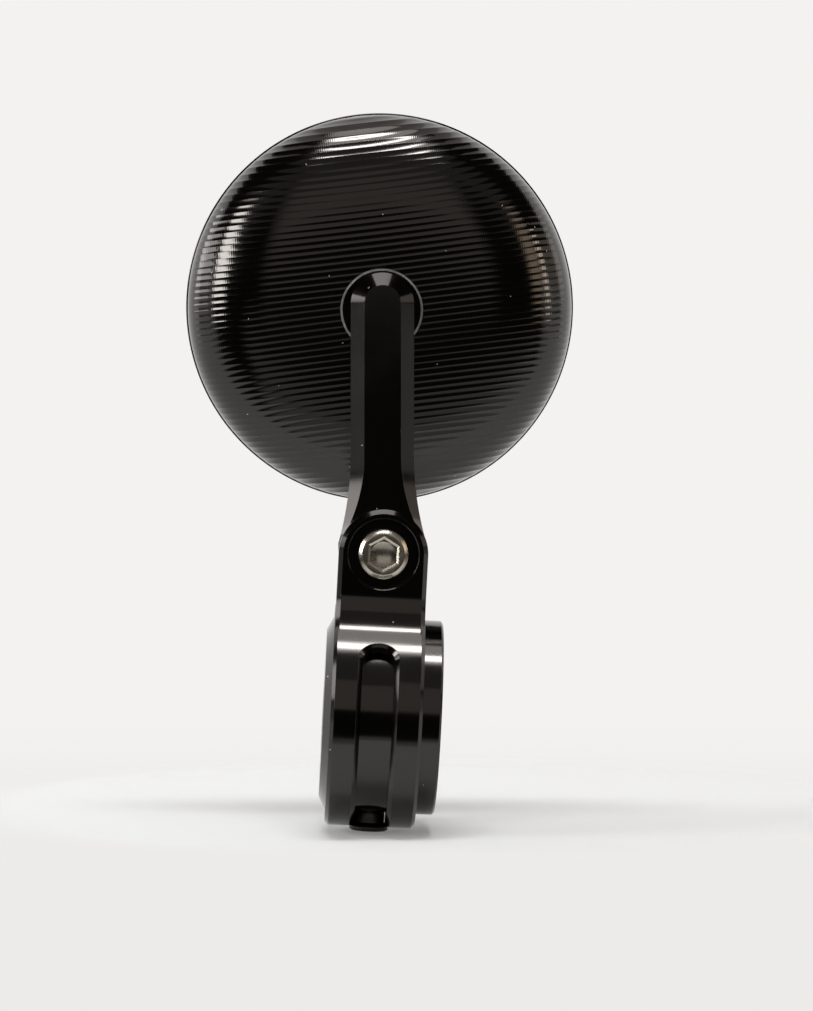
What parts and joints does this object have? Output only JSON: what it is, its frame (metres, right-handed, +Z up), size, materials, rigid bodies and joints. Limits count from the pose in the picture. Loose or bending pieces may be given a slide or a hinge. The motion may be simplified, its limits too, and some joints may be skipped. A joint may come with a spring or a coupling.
{
  "type": "motorcycle bar end mirror",
  "caption": "Round bar end mirror with a ridged domed aluminium back, a folding arm on a socket screw pivot and a slotted clamp ring round a turned bar end insert.",
  "frame": {"origin": "centre of the clamp ring, on the axis of the handlebar bolt's bore in the insert", "axes": "+X along the handlebar towards its middle, +Y towards the rider, the side the glass faces, +Z up along the neck"},
  "size_m": [0.0824, 0.056, 0.1497],
  "materials": {
    "black_anodised": "black anodised, satin to glossy",
    "mirror_glass": "first-surface gloss",
    "adhesive_foam": "matte",
    "stainless": "machined stainless steel",
    "zinc_plate": "zinc plated",
    "nylon": "matte natural nylon",
    "bronze": "turned bronze"
  },
  "bodies": {
    "insert": {"bar_end_insert": "black_anodised", "clamp_screw": "stainless"},
    "bracket": {"clamp_bracket": "black_anodised", "pivot_screw": "stainless", "front_friction_washer": "nylon", "rear_friction_washer": "nylon", "pivot_washer": "stainless", "disc_spring": "stainless", "pivot_nut": "zinc_plate"},
    "arm": {"arm": "black_anodised", "pivot_bush": "bronze", "ball_stud": "stainless"},
    "liner": {"ball_liner": "nylon"},
    "cup": {"ball_cup": "zinc_plate"},
    "head": {"housing": "black_anodised", "mirror_glass": "mirror_glass", "glass_pad": "adhesive_foam", "retaining_plate": "zinc_plate", "plate_screw_1": "stainless", "plate_screw_2": "stainless", "plate_screw_3": "stainless", "cup_spring": "stainless"}
  },
  "joints": [
    {"name": "clamp_turn", "type": "hinge", "parent": "insert", "child": "bracket", "pos_m": [0, 0, 0], "axis": [1, 0, 0], "range_deg": [-54, 122]},
    {"name": "arm_fold", "type": "hinge", "parent": "bracket", "child": "arm", "pos_m": [0, 0, 0.033], "axis": [0, 1, 0], "range_deg": [-85, 75]},
    {"name": "head_pan", "type": "hinge", "parent": "arm", "child": "liner", "pos_m": [-0.00258, 0.0169, 0.08393], "axis": [-0.0506, 0, 0.9987], "range_deg": [-10, 10]},
    {"name": "head_tilt", "type": "hinge", "parent": "liner", "child": "cup", "pos_m": [-0.00258, 0.0169, 0.08393], "axis": [0.9987, 0, 0.0506], "range_deg": [-12, 10]},
    {"name": "head_spin", "type": "hinge", "parent": "cup", "child": "head", "pos_m": [-0.00258, 0.0169, 0.08393], "axis": [-0.0044, 0.9962, 0.087], "continuous": true}
  ]
}
